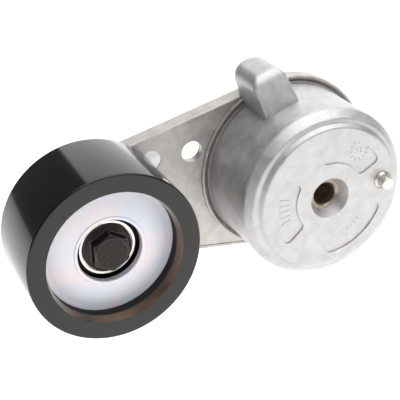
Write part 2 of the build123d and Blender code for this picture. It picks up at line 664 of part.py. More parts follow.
def bearing_seal(front):
    """Flat seal held in the outer ring; its lip runs just clear of the inner ring."""
    lip = BEARING_BORE_RADIUS + RACE_WALL + RUNNING_GAP
    rim = BEARING_OUTER_RADIUS - RACE_WALL + BEARING_SEAL_BITE - PRESS_GAP
    return at_pulley(ring(lip, rim, front, front + BEARING_SEAL_THICKNESS))


def around_bearing(piece):
    """One copy of a piece, made on the X axis, for each ball of the bearing."""
    for index in range(BALL_COUNT):
        turn = Rot(Y=index * 360 / BALL_COUNT)
        yield Pos(0, BEARING_MIDDLE, 0) * turn * Pos(BALL_CIRCLE_RADIUS, 0, 0) * piece


def bearing_balls():
    """The bearing's balls."""
    return at_pulley(Part() + list(around_bearing(Sphere(BALL_RADIUS))))


def ball_cage():
    """Ring that spaces the balls, with a round window for each."""
    inner = BALL_CIRCLE_RADIUS - CAGE_WALL / 2
    front = BEARING_MIDDLE - CAGE_WIDTH / 2
    cage = ring(inner, inner + CAGE_WALL, front, front + CAGE_WIDTH)
    window = Rot(Y=90) * Cylinder(BALL_RADIUS + RUNNING_GAP, 2 * CAGE_WALL)
    return at_pulley(cage - list(around_bearing(window)))


def spacer_sleeve():
    """Sleeve that fills the space between the bolt and the bearing's inner ring."""
    bore = THREAD_RADIUS + SHANK_CLEARANCE
    return at_pulley(ring(bore, BEARING_BORE_RADIUS - PRESS_GAP, BEARING_FRONT, BEARING_BACK))


def front_dust_cup():
    """Pressed cup under the bolt's head; its wall stands inside the shield's hole."""
    bore = THREAD_RADIUS + SHANK_CLEARANCE
    base = BEARING_FRONT - SHEET
    return at_pulley(
        turned(
            (bore, base),
            (CUP_RADIUS - SHEET, base),
            (CUP_RADIUS - SHEET, base - CUP_HEIGHT),
            (CUP_RADIUS, base - CUP_HEIGHT),
            (CUP_RADIUS, BEARING_FRONT, CUP_ROUND),
            (bore, BEARING_FRONT),
        )
    )


def rear_dust_shield():
    """Dished sheet disc between the bearing and the arm's post."""
    bore = THREAD_RADIUS + SHANK_CLEARANCE
    clamp = BEARING_BORE_RADIUS + RACE_WALL - CLAMP_INSET
    rim = BEARING_LIP_RADIUS - REAR_SHIELD_GAP
    return at_pulley(
        turned(
            (bore, BEARING_BACK),
            (clamp, BEARING_BACK),
            (clamp + REAR_SHIELD_SETBACK, BEARING_BACK + REAR_SHIELD_SETBACK),
            (rim, BEARING_BACK + REAR_SHIELD_SETBACK),
            (rim, BEARING_BACK + REAR_SHIELD_SETBACK + SHEET),
            (clamp + REAR_SHIELD_SETBACK / 2, BEARING_BACK + REAR_SHIELD_SETBACK + SHEET),
            (clamp - REAR_SHIELD_SETBACK / 2, BEARING_BACK + SHEET),
            (bore, BEARING_BACK + SHEET),
        )
    )


def pulley_bolt():
    """Flanged hex bolt that clamps the bearing on the arm's post."""
    under_head = BEARING_FRONT - SHEET
    head_front = under_head - HEAD_HEIGHT
    flange_top = under_head - FLANGE_RIM
    corner = HEX_ACROSS_FLATS / math.sqrt(3)
    hexagon = Rot(Z=HEX_TURN) * RegularPolygon(corner, 6)
    crown = turned(
        (0, head_front),
        (HEX_CHAMFER_RADIUS, head_front),
        (corner, head_front + (corner - HEX_CHAMFER_RADIUS) / 2),
        (corner, under_head),
        (0, under_head),
    )
    head = slab(hexagon, head_front, under_head - HEAD_MERGE) & crown
    flange = turned(
        (0, under_head),
        (FLANGE_RADIUS, under_head, FLANGE_LOWER_ROUND),
        (FLANGE_RADIUS, flange_top, FLANGE_UPPER_ROUND),
        (HEX_ACROSS_FLATS / 2, flange_top - FLANGE_RISE),
        (0, flange_top - FLANGE_RISE),
    )
    shank_back = ARM_BACK + TIP_BOSS_RISE - SHANK_SETBACK
    shank = turned(
        (0, under_head - HEAD_MERGE),
        (THREAD_RADIUS, under_head - HEAD_MERGE),
        (THREAD_RADIUS, shank_back - SHANK_CHAMFER),
        (THREAD_RADIUS - SHANK_CHAMFER, shank_back),
        (0, shank_back),
    )
    return at_pulley(head + flange + shank)


PIECES = {
    "spring_case": spring_case,
    "locating_pin": locating_pin,
    "pivot_shaft": pivot_shaft,
    "spring_seat": spring_seat,
    "torsion_spring": torsion_spring,
    "friction_disc": friction_disc,
    "cone_washer": cone_washer,
    "end_plate": end_plate,
    "tensioner_arm": tensioner_arm,
    "rim_seal": rim_seal,
    "pivot_bushing_front": pivot_bushing_front,
    "pivot_bushing_rear": pivot_bushing_rear,
    "pulley_bolt": pulley_bolt,
    "front_dust_cup": front_dust_cup,
    "spacer_sleeve": spacer_sleeve,
    "inner_race": inner_race,
    "rear_dust_shield": rear_dust_shield,
    "pulley_shell": pulley_shell,
    "front_dust_shield": front_dust_shield,
    "snap_ring": snap_ring,
    "outer_race": outer_race,
    "bearing_seal_front": lambda: bearing_seal(BEARING_FRONT + BEARING_SEAL_INSET),
    "bearing_seal_rear": lambda: bearing_seal(
        BEARING_BACK - BEARING_SEAL_INSET - BEARING_SEAL_THICKNESS
    ),
    "bearing_balls": bearing_balls,
    "ball_cage": ball_cage,
}

os.makedirs("parts", exist_ok=True)
for node, make in PIECES.items():
    piece = make()
    export_step(piece, f"parts/{node}.step")
    print(f"{node}: {len(piece.solids())} solids, {piece.volume:.1f} mm3")
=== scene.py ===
import math

import bpy
from mathutils import Matrix, Vector


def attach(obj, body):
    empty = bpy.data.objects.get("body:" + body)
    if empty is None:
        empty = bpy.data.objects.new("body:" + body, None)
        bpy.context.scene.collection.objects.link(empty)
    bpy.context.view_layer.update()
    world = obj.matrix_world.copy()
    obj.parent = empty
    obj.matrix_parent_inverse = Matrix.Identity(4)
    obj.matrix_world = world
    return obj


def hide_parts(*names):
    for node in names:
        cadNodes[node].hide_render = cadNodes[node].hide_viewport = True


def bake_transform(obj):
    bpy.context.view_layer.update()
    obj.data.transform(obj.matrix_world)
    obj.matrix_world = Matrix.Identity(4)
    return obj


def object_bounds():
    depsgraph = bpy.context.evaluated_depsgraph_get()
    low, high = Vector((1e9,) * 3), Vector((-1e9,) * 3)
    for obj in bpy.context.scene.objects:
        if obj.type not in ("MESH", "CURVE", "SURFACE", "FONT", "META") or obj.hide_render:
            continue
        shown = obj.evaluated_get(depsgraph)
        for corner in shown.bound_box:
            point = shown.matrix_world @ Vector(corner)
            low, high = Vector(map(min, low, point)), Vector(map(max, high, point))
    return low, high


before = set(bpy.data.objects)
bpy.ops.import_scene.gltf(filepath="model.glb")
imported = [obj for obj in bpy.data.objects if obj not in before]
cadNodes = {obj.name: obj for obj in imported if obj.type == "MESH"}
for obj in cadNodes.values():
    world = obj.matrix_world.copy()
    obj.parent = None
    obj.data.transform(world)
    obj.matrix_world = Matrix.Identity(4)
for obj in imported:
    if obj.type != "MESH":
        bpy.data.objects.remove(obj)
cadBox = [list(corner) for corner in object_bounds()]
mm = 0.001
pulleyCentre = (-0.1, 0.0, 0.0)   # the pulley's axis runs along Y through here
pivotCentre = (0.0, 0.0, 0.0)
pinCentre = (0.02695, 0.0, 0.00165)
mixFirst, mixSecond, mixResult = 6, 7, 2   # the colour sockets of a mix node, whose names repeat


def linear(hexColour):   # sRGB hex to the linear colour that a socket takes
    channels = [int(hexColour[i:i + 2], 16) / 255 for i in (1, 3, 5)]
    return [c / 12.92 if c <= 0.04045 else ((c + 0.055) / 1.055) ** 2.4 for c in channels] + [1.0]


def addNode(tree, kind, settings=None, inputs=None):   # a node with its settings, values and links
    node = tree.nodes.new(kind)
    for name, value in (settings or {}).items():
        setattr(node, name, value)
    for name, value in (inputs or {}).items():
        if isinstance(value, bpy.types.NodeSocket):
            tree.links.new(value, node.inputs[name])
        else:
            node.inputs[name].default_value = value
    return node


def startMaterial(name):   # a bare shader and the Object coordinates that its patterns use
    material = bpy.data.materials.new(name)
    material.use_nodes = True
    tree = material.node_tree
    tree.nodes.clear()
    shader = addNode(tree, "ShaderNodeBsdfPrincipled")
    addNode(tree, "ShaderNodeOutputMaterial", inputs={"Surface": shader.outputs["BSDF"]})
    place = addNode(tree, "ShaderNodeTexCoord").outputs["Object"]
    return material, tree, shader, place


def twoTone(tree, factor, span, colours):   # goes from the first colour to the second over the span
    ramp = addNode(tree, "ShaderNodeValToRGB", inputs={"Fac": factor})
    for element, stop, colour in zip(ramp.color_ramp.elements, span, colours):
        element.position = stop
        element.color = linear(colour)
    return ramp.outputs["Color"]


def spreadLook(tree, shader, look, pattern, colourBy, roughBy):   # colour and roughness that vary
    colour = twoTone(tree, colourBy, pattern["colourSpan"], look["colours"])
    tree.links.new(colour, shader.inputs["Base Color"])
    rough = addNode(tree, "ShaderNodeMapRange", inputs={
        "Value": roughBy, "From Min": pattern["roughSpan"][0], "From Max": pattern["roughSpan"][1],
        "To Min": look["roughness"][0], "To Max": look["roughness"][1]})
    tree.links.new(rough.outputs["Result"], shader.inputs["Roughness"])
    shader.inputs["Metallic"].default_value = look.get("metallic", 0.0)


castPattern = {
    "cloudDetail": 3.0, "cloudFineness": 0.55, "cloudSwirl": 0.6, "grainDetail": 2.0, "grainFineness": 0.6,
    "colourSpan": (0.3, 0.72), "roughSpan": (0.3, 0.7),
}


def castMetal(name, look):   # aluminium as it leaves the die: satin skin, cloudy flow marks, fine grain
    material, tree, shader, place = startMaterial(name)
    cloud = addNode(tree, "ShaderNodeTexNoise", inputs={
        "Vector": place, "Scale": 1 / (look["cloudMm"] * mm), "Detail": castPattern["cloudDetail"],
        "Roughness": castPattern["cloudFineness"], "Distortion": castPattern["cloudSwirl"]}).outputs["Fac"]
    grain = addNode(tree, "ShaderNodeTexNoise", inputs={
        "Vector": place, "Scale": 1 / (look["grainMm"] * mm), "Detail": castPattern["grainDetail"],
        "Roughness": castPattern["grainFineness"]}).outputs["Fac"]
    spreadLook(tree, shader, look, castPattern, cloud, cloud)
    waves = addNode(tree, "ShaderNodeBump", inputs={
        "Height": cloud, "Strength": 1.0, "Distance": look["cloudDepthMm"] * mm})
    skin = addNode(tree, "ShaderNodeBump", inputs={
        "Height": grain, "Strength": 1.0, "Distance": look["grainDepthMm"] * mm,
        "Normal": waves.outputs["Normal"]})
    tree.links.new(skin.outputs["Normal"], shader.inputs["Normal"])
    return material


turnedPattern = {
    "ringDetail": 2.0, "ringFineness": 0.6, "cloudDetail": 2.0, "cloudFineness": 0.5,
    "colourSpan": (0.35, 0.65), "roughSpan": (0.3, 0.7),
}


def turnedMetal(name, look, centre):   # rings left by turning or spinning about an axis along Y
    material, tree, shader, place = startMaterial(name)
    offset = addNode(tree, "ShaderNodeVectorMath", {"operation": "SUBTRACT"}, {0: place, 1: centre})
    parts = addNode(tree, "ShaderNodeSeparateXYZ", inputs={"Vector": offset.outputs["Vector"]}).outputs
    flat = addNode(tree, "ShaderNodeCombineXYZ", inputs={"X": parts["X"], "Z": parts["Z"]})
    radius = addNode(tree, "ShaderNodeVectorMath", {"operation": "LENGTH"}, {0: flat.outputs["Vector"]})
    along = addNode(tree, "ShaderNodeMath", {"operation": "ADD"}, {0: radius.outputs["Value"], 1: parts["Y"]})
    rings = addNode(tree, "ShaderNodeTexNoise", {"noise_dimensions": "1D"}, {
        "W": along.outputs["Value"], "Scale": 1 / (look["ringMm"] * mm),
        "Detail": turnedPattern["ringDetail"], "Roughness": turnedPattern["ringFineness"]}).outputs["Fac"]
    cloud = addNode(tree, "ShaderNodeTexNoise", inputs={
        "Vector": place, "Scale": 1 / (look["cloudMm"] * mm), "Detail": turnedPattern["cloudDetail"],
        "Roughness": turnedPattern["cloudFineness"]}).outputs["Fac"]
    spreadLook(tree, shader, look, turnedPattern, cloud, rings)
    grooves = addNode(tree, "ShaderNodeBump", inputs={
        "Height": rings, "Strength": 1.0, "Distance": look["ringDepthMm"] * mm})
    tree.links.new(grooves.outputs["Normal"], shader.inputs["Normal"])
    return material


mouldedPattern = {"grainDetail": 3.0, "grainFineness": 0.6, "colourSpan": (0.3, 0.7), "roughSpan": (0.3, 0.7)}


def mouldedSkin(name, look):   # plastic, rubber or a chemical coat with a fine surface texture
    material, tree, shader, place = startMaterial(name)
    grain = addNode(tree, "ShaderNodeTexNoise", inputs={
        "Vector": place, "Scale": 1 / (look["grainMm"] * mm), "Detail": mouldedPattern["grainDetail"],
        "Roughness": mouldedPattern["grainFineness"]}).outputs["Fac"]
    spreadLook(tree, shader, look, mouldedPattern, grain, grain)
    bump = addNode(tree, "ShaderNodeBump", inputs={
        "Height": grain, "Strength": 1.0, "Distance": look["grainDepthMm"] * mm})
    tree.links.new(bump.outputs["Normal"], shader.inputs["Normal"])
    return material


def shaderOf(material):
    return next(node for node in material.node_tree.nodes if node.type == "BSDF_PRINCIPLED")


def overlay(material, factor, colour):   # another colour over the material's own, where factor is 1
    base = shaderOf(material).inputs["Base Color"]
    blend = addNode(material.node_tree, "ShaderNodeMix", {"data_type": "RGBA"}, {
        0: factor, mixFirst: base.links[0].from_socket, mixSecond: linear(colour)})
    material.node_tree.links.new(blend.outputs[mixResult], base)


def edgeWear(material, wear):   # lighter edges, where handling has rubbed the coating thin
    tree = material.node_tree
    rounded = addNode(tree, "ShaderNodeBevel", {"samples": wear["samples"]}, {"Radius": wear["reachMm"] * mm})
    flat = addNode(tree, "ShaderNodeNewGeometry")
    same = addNode(tree, "ShaderNodeVectorMath", {"operation": "DOT_PRODUCT"}, {
        0: rounded.outputs["Normal"], 1: flat.outputs["Normal"]})
    edge = addNode(tree, "ShaderNodeMapRange", inputs={
        "Value": same.outputs["Value"], "From Min": 1.0, "From Max": wear["fullAt"],
        "To Min": 0.0, "To Max": wear["strength"]})
    overlay(material, edge.outputs["Result"], wear["colour"])


def roundSpot(material, spot):   # a shallow round spot of another shade, as an ejector pin leaves
    tree = material.node_tree
    place = addNode(tree, "ShaderNodeTexCoord").outputs["Object"]
    offset = addNode(tree, "ShaderNodeVectorMath", {"operation": "SUBTRACT"}, {0: place, 1: spot["centre"]})
    shallow = addNode(tree, "ShaderNodeVectorMath", {"operation": "MULTIPLY"}, {
        0: offset.outputs["Vector"], 1: spot["flatten"]})
    distance = addNode(tree, "ShaderNodeVectorMath", {"operation": "LENGTH"}, {0: shallow.outputs["Vector"]})
    inside = addNode(tree, "ShaderNodeMapRange", inputs={
        "Value": distance.outputs["Value"], "From Min": spot["radiusMm"] * mm,
        "From Max": (spot["radiusMm"] - spot["edgeMm"]) * mm, "To Min": 0.0, "To Max": 1.0})
    overlay(material, inside.outputs["Result"], spot["colour"])


print("finishes")
dieCastArm = castMetal("dieCastAluminiumArm", {   # satin grey casting, warm and a little uneven
    "colours": ("#B3AFAC", "#D1CECB"), "metallic": 0.75, "roughness": (0.42, 0.55),
    "cloudMm": 6, "cloudDepthMm": 0.08, "grainMm": 1.1, "grainDepthMm": 0.05})
castSpot = {
    "centre": (-0.06582, 0.0429, 0.0183), "radiusMm": 4.8, "edgeMm": 0.4, "colour": "#F2F1EF",
    "flatten": (1, 3, 1),   # keeps the spot from showing on the back of the plate
}
roundSpot(dieCastArm, castSpot)
dieCastCase = castMetal("dieCastAluminiumCase", {   # the same alloy, tumbled brighter
    "colours": ("#BDBBBA", "#D3D2D2"), "metallic": 0.72, "roughness": (0.42, 0.54),
    "cloudMm": 6, "cloudDepthMm": 0.08, "grainMm": 1.1, "grainDepthMm": 0.045})
zincShield = turnedMetal("zincPlatedPressedSteel", {   # near white, with faint blue and pink passivation
    "colours": ("#EEF3FF", "#FFF5FA"), "metallic": 0.12, "roughness": (0.45, 0.55),
    "ringMm": 0.5, "ringDepthMm": 0.0008, "cloudMm": 14}, pulleyCentre)
olivePlating = turnedMetal("olivePassivatedSteel", {   # the cup inside the hole
    "colours": ("#DAD8CE", "#F0ECEA"), "metallic": 0.8, "roughness": (0.2, 0.32),
    "ringMm": 0.4, "ringDepthMm": 0.003, "cloudMm": 6}, pulleyCentre)
groundSteel = turnedMetal("groundBearingSteel", {   # bright and nearly a mirror
    "colours": ("#B8B9BB", "#C8C9CB"), "metallic": 1.0, "roughness": (0.12, 0.22),
    "ringMm": 0.3, "ringDepthMm": 0.002, "cloudMm": 9}, pulleyCentre)
glossCoat = turnedMetal("glossBlackCoatedSteel", {   # deep black, mirrors the studio
    "colours": ("#0B0A0A", "#131110"), "metallic": 0.0, "roughness": (0.1, 0.16),
    "ringMm": 0.8, "ringDepthMm": 0.001, "cloudMm": 20}, pulleyCentre)
satinCoat = turnedMetal("satinBlackFace", {   # the turned front face keeps a browner, duller coat
    "colours": ("#2E2725", "#3A312F"), "metallic": 0.2, "roughness": (0.24, 0.34),
    "ringMm": 0.6, "ringDepthMm": 0.002, "cloudMm": 16}, pulleyCentre)
tanReflectionBevel = turnedMetal("paintedTanReflectionBevel", {   # painted reflection: the tan colour stands in for a tan reflection on the bevel
    "colours": ("#4A3D34", "#7D6858"), "metallic": 0.85, "roughness": (0.12, 0.18),
    "ringMm": 0.5, "ringDepthMm": 0.001, "cloudMm": 18}, pulleyCentre)
boreShadeBlack = turnedMetal("paintedShadeBore", {   # the pulley's black coat, darker and matte here: painted shade deep in the bore
    "colours": ("#060505", "#0C0B0A"), "metallic": 0.0, "roughness": (0.7, 0.85),
    "ringMm": 0.8, "ringDepthMm": 0.004, "cloudMm": 12}, pulleyCentre)
phosphateBolt = mouldedSkin("blackPhosphatedSteel", {   # oily brown black
    "colours": ("#191614", "#332E2B"), "roughness": (0.3, 0.46),
    "grainMm": 0.7, "grainDepthMm": 0.02, "metallic": 0.6})
boltWear = {"colour": "#8F8882", "reachMm": 0.6, "strength": 0.8, "samples": 4, "fullAt": 0.9}
edgeWear(phosphateBolt, boltWear)
shaftSteel = turnedMetal("turnedShaftSteel", {   # browned steel with rings from the tool
    "colours": ("#8C7E70", "#B5A798"), "metallic": 0.7, "roughness": (0.3, 0.45),
    "ringMm": 0.6, "ringDepthMm": 0.02, "cloudMm": 6}, pivotCentre)
pinSteel = turnedMetal("satinPinSteel", {   # brighter than the casting that it stands in
    "colours": ("#CFCBC4", "#DEDAD4"), "metallic": 0.85, "roughness": (0.32, 0.44),
    "ringMm": 0.5, "ringDepthMm": 0.01, "cloudMm": 3}, pinCentre)
plateSteel = turnedMetal("satinPlateSteel", {   # grey steel with faint turning rings
    "colours": ("#A9A8A6", "#BFBEBC"), "metallic": 0.9, "roughness": (0.26, 0.4),
    "ringMm": 0.7, "ringDepthMm": 0.01, "cloudMm": 9}, pivotCentre)
springSteel = mouldedSkin("oilHardenedSpringSteel", {   # blue black scale under a film of oil
    "colours": ("#1B1B1D", "#2B2A2C"), "roughness": (0.3, 0.45),
    "grainMm": 0.7, "grainDepthMm": 0.01, "metallic": 0.7})
sealRubber = mouldedSkin("mouldedSealRubber", {   # dull black
    "colours": ("#0E0E0E", "#171717"), "roughness": (0.55, 0.7), "grainMm": 0.4, "grainDepthMm": 0.01})
greySeal = mouldedSkin("greyNylonSeal", {   # the rim seal is nearly as light as the casting around it
    "colours": ("#9C9A98", "#ADABA9"), "roughness": (0.5, 0.62), "grainMm": 0.5, "grainDepthMm": 0.01})
bushingPlastic = mouldedSkin("filledNylonBearing", {   # brown, with specks of the dry lubricant
    "colours": ("#4A4133", "#5C5242"), "roughness": (0.45, 0.6), "grainMm": 0.5, "grainDepthMm": 0.01})
frictionPlastic = mouldedSkin("frictionCompound", {   # charcoal, without any shine
    "colours": ("#141414", "#202020"), "roughness": (0.6, 0.75), "grainMm": 0.5, "grainDepthMm": 0.02})

nodeFinishes = {
    dieCastCase: ["spring_case"],
    dieCastArm: ["tensioner_arm"],
    pinSteel: ["locating_pin"],
    shaftSteel: ["pivot_shaft"],
    plateSteel: ["end_plate", "spacer_sleeve"],
    springSteel: ["torsion_spring", "cone_washer", "snap_ring"],
    bushingPlastic: ["spring_seat", "pivot_bushing_front", "pivot_bushing_rear", "ball_cage"],
    frictionPlastic: ["friction_disc"],
    greySeal: ["rim_seal"],
    sealRubber: ["bearing_seal_front", "bearing_seal_rear"],
    zincShield: ["front_dust_shield", "rear_dust_shield"],
    olivePlating: ["front_dust_cup"],
    phosphateBolt: ["pulley_bolt"],
    glossCoat: ["pulley_shell"],
    groundSteel: ["inner_race", "outer_race", "bearing_balls"],
}
for finish, names in nodeFinishes.items():
    for name in names:
        mesh = cadNodes[name].data
        mesh.materials.clear()
        mesh.materials.append(finish)


def startShape(name, sizes):   # an empty node tree whose named inputs are the sizes, in mm
    tree = bpy.data.node_groups.new(name, "GeometryNodeTree")
    tree.interface.new_socket(name="Geometry", in_out="OUTPUT", socket_type="NodeSocketGeometry")
    for label, value in sizes.items():
        kind = "NodeSocketInt" if isinstance(value, int) else "NodeSocketFloat"
        tree.interface.new_socket(name=label, in_out="INPUT", socket_type=kind)
    return tree, addNode(tree, "NodeGroupInput").outputs


def calculate(tree, operation, first, second=0.0):
    return addNode(tree, "ShaderNodeMath", {"operation": operation}, {0: first, 1: second}).outputs["Value"]


def onCircle(tree, radius, angle):   # X and Z of a point at this angle from +X
    across = calculate(tree, "MULTIPLY", radius, calculate(tree, "COSINE", angle))
    upwards = calculate(tree, "MULTIPLY", radius, calculate(tree, "SINE", angle))
    return across, upwards


def buildShape(tree, sizes, geometry):   # evaluates the tree once, keeps a plain mesh in metres
    metres = addNode(tree, "GeometryNodeTransform", inputs={"Geometry": geometry, "Scale": (mm, mm, mm)})
    addNode(tree, "NodeGroupOutput", inputs={"Geometry": metres.outputs["Geometry"]})
    shape = bpy.data.objects.new(tree.name, bpy.data.meshes.new(tree.name + "Start"))
    bpy.context.scene.collection.objects.link(shape)
    modifier = shape.modifiers.new("build", "NODES")
    modifier.node_group = tree
    for socket in tree.interface.items_tree:
        if socket.in_out == "INPUT":
            modifier[socket.identifier] = sizes[socket.name]
    evaluated = shape.evaluated_get(bpy.context.evaluated_depsgraph_get())
    mesh = bpy.data.meshes.new_from_object(evaluated)
    mesh.name = tree.name
    shape.modifiers.clear()
    shape.data = mesh
    return shape


def smooth(shape, sharpestDegrees):   # smooth shading, except across edges sharper than this
    shape.data.shade_smooth()
    shape.data.set_sharp_from_angle(angle=math.radians(sharpestDegrees))


print("pulley")
pulleySizes = {
    "Outer Radius": 38.0, "Front": 2.0, "Width": 38.5, "Edge Round": 0.8,
    "Bore Radius": 29.0, "Bevel Width": 1.0, "Bevel Depth": 4.5, "Shield Seat": 12.0,
    "Bearing Radius": 20.02, "Bearing Front": 15.55, "Bearing Back": 31.55,
    "Groove Radius": 21.22, "Groove Front": 13.7,
    "Lip Radius": 18.2, "Lip Width": 1.65, "Recess Round": 2.5, "Centre": -100.0,
    "Steps": 240, "Round Steps": 6,
}
pulleySharpAngle = 25
touching = 0.1      # mm, faces this near to a depth or radius belong to it
facesFront = -0.97   # the normal of a face that looks along -Y
seamGap = 0.001      # mm
centred = 0.5        # keeps a rounded-down count away from its limits
tree, size = startShape("pulleyBody", pulleySizes)
pulleyBack = calculate(tree, "ADD", size["Front"], size["Width"])
bevelRadius = calculate(tree, "ADD", size["Bore Radius"], size["Bevel Width"])
bevelEnd = calculate(tree, "ADD", size["Front"], size["Bevel Depth"])
lipBack = calculate(tree, "ADD", size["Bearing Back"], size["Lip Width"])
corners = [   # radius, depth, rounding
    (bevelRadius, size["Front"], 0.0),
    (size["Outer Radius"], size["Front"], size["Edge Round"]),
    (size["Outer Radius"], pulleyBack, size["Edge Round"]),
    (size["Bore Radius"], pulleyBack, 0.0),
    (size["Bore Radius"], lipBack, size["Recess Round"]),
    (size["Lip Radius"], lipBack, 0.0),
    (size["Lip Radius"], size["Bearing Back"], 0.0),
    (size["Bearing Radius"], size["Bearing Back"], 0.0),
    (size["Bearing Radius"], size["Bearing Front"], 0.0),
    (size["Groove Radius"], size["Bearing Front"], 0.0),
    (size["Groove Radius"], size["Groove Front"], 0.0),
    (size["Bearing Radius"], size["Groove Front"], 0.0),
    (size["Bearing Radius"], size["Shield Seat"], 0.0),
    (size["Bore Radius"], size["Shield Seat"], 0.0),
    (size["Bore Radius"], bevelEnd, 0.0),
]
index = addNode(tree, "GeometryNodeInputIndex").outputs["Index"]
corner = addNode(tree, "GeometryNodeIndexSwitch", {"data_type": "VECTOR"}, {"Index": index})
for number, values in enumerate(corners):
    if number > 1:
        corner.index_switch_items.new()
    point = addNode(tree, "ShaderNodeCombineXYZ", inputs=dict(zip("XYZ", values)))
    tree.links.new(point.outputs["Vector"], corner.inputs[str(number)])
chosen = addNode(tree, "ShaderNodeSeparateXYZ", inputs={"Vector": corner.outputs["Output"]})
flatPoint = addNode(tree, "ShaderNodeCombineXYZ", inputs={"X": chosen.outputs["X"], "Y": chosen.outputs["Y"]})
line = addNode(tree, "GeometryNodeCurvePrimitiveLine").outputs["Curve"]
outline = addNode(tree, "GeometryNodeResampleCurve", inputs={"Curve": line, "Count": len(corners)})
closed = addNode(tree, "GeometryNodeSetSplineCyclic", inputs={
    "Geometry": outline.outputs["Curve"], "Cyclic": True})
placed = addNode(tree, "GeometryNodeSetPosition", inputs={
    "Geometry": closed.outputs["Geometry"], "Position": flatPoint.outputs["Vector"]})
rounded = addNode(tree, "GeometryNodeFilletCurve", {"mode": "POLY"}, {
    "Curve": placed.outputs["Geometry"], "Radius": chosen.outputs["Z"], "Count": size["Round Steps"]})
section = addNode(tree, "GeometryNodeCurveToMesh", inputs={"Curve": rounded.outputs["Curve"]}).outputs["Mesh"]
sectionCount = addNode(tree, "GeometryNodeAttributeDomainSize", inputs={
    "Geometry": section}).outputs["Point Count"]
rowLength = calculate(tree, "ADD", sectionCount, 1.0)   # the outline's first point comes again at its end
grid = addNode(tree, "GeometryNodeMeshGrid", inputs={
    "Vertices X": calculate(tree, "ADD", size["Steps"], 1.0), "Vertices Y": rowLength})
row = calculate(tree, "FLOOR", calculate(tree, "DIVIDE", calculate(tree, "ADD", index, centred), rowLength))
column = calculate(tree, "SUBTRACT", index, calculate(tree, "MULTIPLY", row, rowLength))
sectionPoint = calculate(tree, "ADD", calculate(tree, "MODULO", column, sectionCount), centred)
sectionPoint = calculate(tree, "FLOOR", sectionPoint)
position = addNode(tree, "GeometryNodeInputPosition").outputs["Position"]
sample = addNode(tree, "GeometryNodeSampleIndex", {"data_type": "FLOAT_VECTOR"}, {
    "Geometry": section, "Value": position, "Index": sectionPoint})
swept = addNode(tree, "ShaderNodeSeparateXYZ", inputs={"Vector": sample.outputs["Value"]}).outputs
angle = calculate(tree, "MULTIPLY", calculate(tree, "DIVIDE", row, size["Steps"]), math.tau)
across, upwards = onCircle(tree, swept["X"], angle)
turnedPoint = addNode(tree, "ShaderNodeCombineXYZ", inputs={"X": across, "Y": swept["Y"], "Z": upwards})
turned = addNode(tree, "GeometryNodeSetPosition", inputs={
    "Geometry": grid.outputs["Mesh"], "Position": turnedPoint.outputs["Vector"]})
joined = addNode(tree, "GeometryNodeMergeByDistance", inputs={
    "Geometry": turned.outputs["Geometry"], "Distance": seamGap})
parts = addNode(tree, "ShaderNodeSeparateXYZ", inputs={"Vector": position}).outputs
squareX = calculate(tree, "POWER", parts["X"], 2.0)
squareZ = calculate(tree, "POWER", parts["Z"], 2.0)
radial = calculate(tree, "SQRT", calculate(tree, "ADD", squareX, squareZ))
normal = addNode(tree, "GeometryNodeInputNormal").outputs["Normal"]
normalDepth = addNode(tree, "ShaderNodeSeparateXYZ", inputs={"Vector": normal}).outputs["Y"]
coated = addNode(tree, "GeometryNodeSetMaterial", inputs={
    "Geometry": joined.outputs["Geometry"], "Material": glossCoat})
nearFront = calculate(tree, "LESS_THAN", parts["Y"], calculate(tree, "ADD", size["Front"], touching))
isFront = calculate(tree, "MULTIPLY", calculate(tree, "LESS_THAN", normalDepth, facesFront), nearFront)
faced = addNode(tree, "GeometryNodeSetMaterial", inputs={
    "Geometry": coated.outputs["Geometry"], "Selection": isFront, "Material": satinCoat})
insideBevel = calculate(tree, "LESS_THAN", radial, calculate(tree, "SUBTRACT", bevelRadius, touching))
beforeSeat = calculate(tree, "LESS_THAN", parts["Y"], calculate(tree, "ADD", size["Shield Seat"], touching))
# the deep bore wall takes the black coat darkened as painted shade
isBore = calculate(tree, "MULTIPLY", insideBevel, beforeSeat)
bored = addNode(tree, "GeometryNodeSetMaterial", inputs={
    "Geometry": faced.outputs["Geometry"], "Selection": isBore, "Material": boreShadeBlack})
# the bevel takes the painted tan reflection
isBevel = calculate(tree, "MULTIPLY", isBore, calculate(tree, "LESS_THAN", parts["Y"], bevelEnd))
bevelled = addNode(tree, "GeometryNodeSetMaterial", inputs={
    "Geometry": bored.outputs["Geometry"], "Selection": isBevel, "Material": tanReflectionBevel})
moved = addNode(tree, "ShaderNodeCombineXYZ", inputs={"X": size["Centre"]})
atPulley = addNode(tree, "GeometryNodeTransform", inputs={
    "Geometry": bevelled.outputs["Geometry"], "Translation": moved.outputs["Vector"]})
solid = addNode(tree, "GeometryNodeRealizeInstances", inputs={"Geometry": atPulley.outputs["Geometry"]})
pulleyBody = buildShape(tree, pulleySizes, solid.outputs["Geometry"])
smooth(pulleyBody, pulleySharpAngle)
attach(pulleyBody, "pulley")
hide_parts("pulley_shell")

print("spring")
springSizes = {
    "Wire": 6.4, "Mean Radius": 28.5, "Pitch": 6.7, "Turns": 4.0447761, "First Coil": 13.8,
    "Start Angle": 316.1194, "Steps": 480, "Wire Sides": 20,
}
springSharpAngle = 40
tree, size = startShape("springCoil", springSizes)
line = addNode(tree, "GeometryNodeCurvePrimitiveLine").outputs["Curve"]
path = addNode(tree, "GeometryNodeResampleCurve", inputs={"Curve": line, "Count": size["Steps"]})
factor = addNode(tree, "GeometryNodeSplineParameter").outputs["Factor"]
turn = calculate(tree, "MULTIPLY", factor, size["Turns"])
startAngle = calculate(tree, "RADIANS", size["Start Angle"])
angle = calculate(tree, "SUBTRACT", startAngle, calculate(tree, "MULTIPLY", turn, math.tau))
coilX, coilZ = onCircle(tree, size["Mean Radius"], angle)
coilY = calculate(tree, "ADD", size["First Coil"], calculate(tree, "MULTIPLY", turn, size["Pitch"]))
coilPoint = addNode(tree, "ShaderNodeCombineXYZ", inputs={"X": coilX, "Y": coilY, "Z": coilZ})
